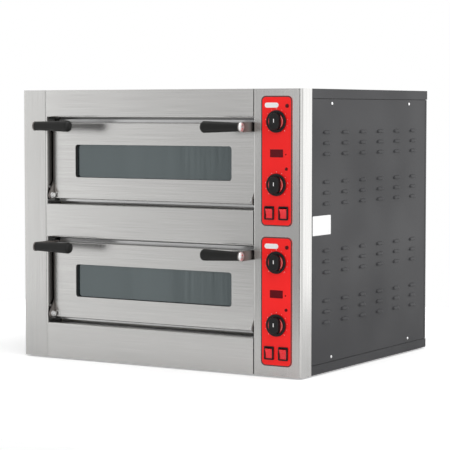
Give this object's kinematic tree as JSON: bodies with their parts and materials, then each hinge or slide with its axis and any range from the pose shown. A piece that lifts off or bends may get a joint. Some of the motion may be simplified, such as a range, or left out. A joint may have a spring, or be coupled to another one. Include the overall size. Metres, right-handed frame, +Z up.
{
  "type": "countertop pizza oven",
  "caption": "Double-deck electric pizza oven for a counter, with drop-down glazed doors on lever arms, refractory stones and a side control column.",
  "frame": {"origin": "centre of the whole object's footprint, at the height of the counter", "axes": "+X to the user's right, +Y into the oven, +Z up; the doors face -Y"},
  "size_m": [0.903, 0.8385, 0.749],
  "materials": {
    "brushed_stainless": "vertical brushed grain",
    "grey_paint": "satin dark grey paint",
    "zinc_steel": "zinc-plated",
    "bright_fasteners": "polished plating",
    "rubber": "matt",
    "chamber_steel": "heat-toned steel",
    "refractory_stone": "porous, unglazed",
    "element_sheath": "oxidised sheath",
    "mineral_wool": "fibrous",
    "glass_rope": "braided glass fibre",
    "window_glass": "clear tempered",
    "red_panel": "printed polycarbonate",
    "display_window": "dark red window",
    "pilot_lens": "dark red lens",
    "black_plastic": "satin thermoset",
    "black_gasket": "matt silicone",
    "arm_steel": "flat bar, rolled finish",
    "red_rocker": "red",
    "blank_label": "blank white film"
  },
  "bodies": {
    "cabinet": {"left_post": "brushed_stainless", "control_column": "brushed_stainless", "bottom_fascia": "brushed_stainless", "middle_fascia": "brushed_stainless", "top_fascia": "brushed_stainless", "base_tray": "grey_paint", "top_cover": "grey_paint", "right_side_panel": "grey_paint", "left_side_panel": "grey_paint", "back_panel": "grey_paint", "chassis_frame": "zinc_steel", "casing_screws": "bright_fasteners", "rubber_feet": "rubber", "lower_chamber": "chamber_steel", "upper_chamber": "chamber_steel", "lower_baking_stones": "refractory_stone", "upper_baking_stones": "refractory_stone", "lower_heating_elements": "element_sheath", "upper_heating_elements": "element_sheath", "stone_supports": "zinc_steel", "chamber_insulation": "mineral_wool", "door_seals": "glass_rope", "lamp_holders": "zinc_steel", "lamp_lenses": "window_glass", "hinge_brackets": "zinc_steel", "lower_control_panel": "red_panel", "upper_control_panel": "red_panel", "temperature_displays": "display_window", "pilot_lamps": "pilot_lens", "thermostat_bodies": "zinc_steel", "switch_bezels": "black_plastic", "terminal_block": "black_plastic", "cable_gland": "black_plastic", "rating_plate": "blank_label"},
    "lower_door": {"lower_door_skin": "brushed_stainless", "lower_door_liner": "chamber_steel", "lower_window_frame": "chamber_steel", "lower_window_gasket": "black_gasket", "lower_door_glass": "window_glass", "lower_door_insulation": "mineral_wool", "lower_door_arms": "arm_steel", "lower_door_grips": "black_plastic", "lower_door_fasteners": "bright_fasteners"},
    "upper_door": {"upper_door_skin": "brushed_stainless", "upper_door_liner": "chamber_steel", "upper_window_frame": "chamber_steel", "upper_window_gasket": "black_gasket", "upper_door_glass": "window_glass", "upper_door_insulation": "mineral_wool", "upper_door_arms": "arm_steel", "upper_door_grips": "black_plastic", "upper_door_fasteners": "bright_fasteners"},
    "lower_ceiling_knob_body": {"lower_ceiling_knob": "black_plastic"},
    "lower_floor_knob_body": {"lower_floor_knob": "black_plastic"},
    "lower_left_rocker_body": {"lower_left_rocker": "red_rocker"},
    "lower_right_rocker_body": {"lower_right_rocker": "red_rocker"},
    "upper_ceiling_knob_body": {"upper_ceiling_knob": "black_plastic"},
    "upper_floor_knob_body": {"upper_floor_knob": "black_plastic"},
    "upper_left_rocker_body": {"upper_left_rocker": "red_rocker"},
    "upper_right_rocker_body": {"upper_right_rocker": "red_rocker"}
  },
  "joints": [
    {"name": "lower_door_hinge", "type": "hinge", "parent": "cabinet", "child": "lower_door", "pos_m": [-0.0316, -0.33325, 0.124], "axis": [1, 0, 0], "range_deg": [0, 90]},
    {"name": "upper_door_hinge", "type": "hinge", "parent": "cabinet", "child": "upper_door", "pos_m": [-0.0316, -0.33325, 0.457], "axis": [1, 0, 0], "range_deg": [0, 90]},
    {"name": "lower_ceiling_knob_turn", "type": "hinge", "parent": "cabinet", "child": "lower_ceiling_knob_body", "pos_m": [0.3735, -0.35675, 0.3005], "axis": [0, 1, 0], "range_deg": [0, 270]},
    {"name": "lower_floor_knob_turn", "type": "hinge", "parent": "cabinet", "child": "lower_floor_knob_body", "pos_m": [0.3735, -0.35675, 0.1375], "axis": [0, 1, 0], "range_deg": [0, 270]},
    {"name": "lower_left_rocker_tip", "type": "hinge", "parent": "cabinet", "child": "lower_left_rocker_body", "pos_m": [0.3525, -0.34375, 0.0645], "axis": [1, 0, 0], "range_deg": [-20, 0]},
    {"name": "lower_right_rocker_tip", "type": "hinge", "parent": "cabinet", "child": "lower_right_rocker_body", "pos_m": [0.3945, -0.34375, 0.0645], "axis": [1, 0, 0], "range_deg": [-20, 0]},
    {"name": "upper_ceiling_knob_turn", "type": "hinge", "parent": "cabinet", "child": "upper_ceiling_knob_body", "pos_m": [0.3735, -0.35675, 0.6645], "axis": [0, 1, 0], "range_deg": [0, 270]},
    {"name": "upper_floor_knob_turn", "type": "hinge", "parent": "cabinet", "child": "upper_floor_knob_body", "pos_m": [0.3735, -0.35675, 0.5015], "axis": [0, 1, 0], "range_deg": [0, 270]},
    {"name": "upper_left_rocker_tip", "type": "hinge", "parent": "cabinet", "child": "upper_left_rocker_body", "pos_m": [0.3525, -0.34375, 0.4285], "axis": [1, 0, 0], "range_deg": [-20, 0]},
    {"name": "upper_right_rocker_tip", "type": "hinge", "parent": "cabinet", "child": "upper_right_rocker_body", "pos_m": [0.3945, -0.34375, 0.4285], "axis": [1, 0, 0], "range_deg": [-20, 0]}
  ]
}
